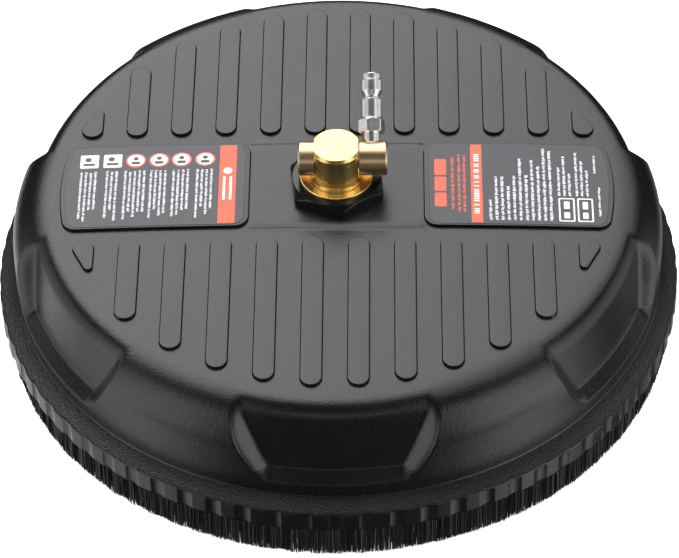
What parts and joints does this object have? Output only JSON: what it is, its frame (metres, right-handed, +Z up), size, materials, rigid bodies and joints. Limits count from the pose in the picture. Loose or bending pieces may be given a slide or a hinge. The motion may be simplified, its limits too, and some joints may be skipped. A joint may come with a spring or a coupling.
{
  "type": "surface cleaner",
  "caption": "Round pressure-washer surface cleaner with a ribbed black hood, a brush skirt, a tilting quick-connect inlet on a brass swivel and a two-arm spray rotor underneath.",
  "frame": {"origin": "on the ground under the middle of the hood, where the rotor axis meets the plane of the bristle tips", "axes": "+Z up along the rotor axis, -Y towards the front, +X towards the side that the inlet is on"},
  "size_m": [0.4, 0.4, 0.1541],
  "materials": {
    "hood_plastic": "fine textured moulded polypropylene, satin",
    "label_print": "grey printed film label, satin",
    "bristle_nylon": "black nylon bristles",
    "backing_plastic": "black moulded strip",
    "screw_steel": "zinc-plated steel",
    "black_nylon": "black glass-filled nylon, semi-gloss",
    "washer_steel": "zinc-plated steel",
    "bearing_steel": "ground bearing steel",
    "polished_brass": "turned and polished brass",
    "satin_brass": "satin turned brass",
    "seal_rubber": "black nitrile rubber",
    "stainless": "turned stainless steel, polished"
  },
  "bodies": {
    "hood": {"housing_shell": "hood_plastic", "label_left": "label_print", "label_right": "label_print", "brush_bristles": "bristle_nylon", "brush_backing": "backing_plastic", "brush_screws": "screw_steel", "bearing_housing": "black_nylon", "deck_washer": "washer_steel", "clamp_ring_nut": "black_nylon", "lower_bearing_outer_race": "bearing_steel", "lower_bearing_balls": "bearing_steel", "upper_bearing_outer_race": "bearing_steel", "upper_bearing_balls": "bearing_steel", "outer_race_spacer": "bearing_steel", "housing_clip": "washer_steel", "manifold_body": "polished_brass", "manifold_seal_ring": "seal_rubber", "rotary_seal": "seal_rubber", "pivot_pin": "stainless", "pin_end_cap": "satin_brass", "pin_seal_rings": "seal_rubber", "pin_retaining_ring": "washer_steel"},
    "inlet": {"swivel_collar": "satin_brass", "collar_plug": "satin_brass", "quick_connect_nipple": "stainless"},
    "rotor": {"rotor_shaft": "stainless", "shaft_clip": "washer_steel", "lower_bearing_inner_race": "bearing_steel", "upper_bearing_inner_race": "bearing_steel", "inner_race_spacer": "bearing_steel", "rotor_hub": "satin_brass", "spray_arm_left": "stainless", "arm_lock_nut_left": "stainless", "nozzle_elbow_left": "satin_brass", "spray_nozzle_left": "stainless", "spray_arm_right": "stainless", "arm_lock_nut_right": "stainless", "nozzle_elbow_right": "satin_brass", "spray_nozzle_right": "stainless"}
  },
  "joints": [
    {"name": "inlet_tilt", "type": "hinge", "parent": "hood", "child": "inlet", "pos_m": [0.0203, 0, 0.1213], "axis": [1, 0, 0], "range_deg": [-30, 139]},
    {"name": "rotor_spin", "type": "hinge", "parent": "hood", "child": "rotor", "pos_m": [0, 0, 0.045], "axis": [0, 0, 1], "continuous": true}
  ]
}
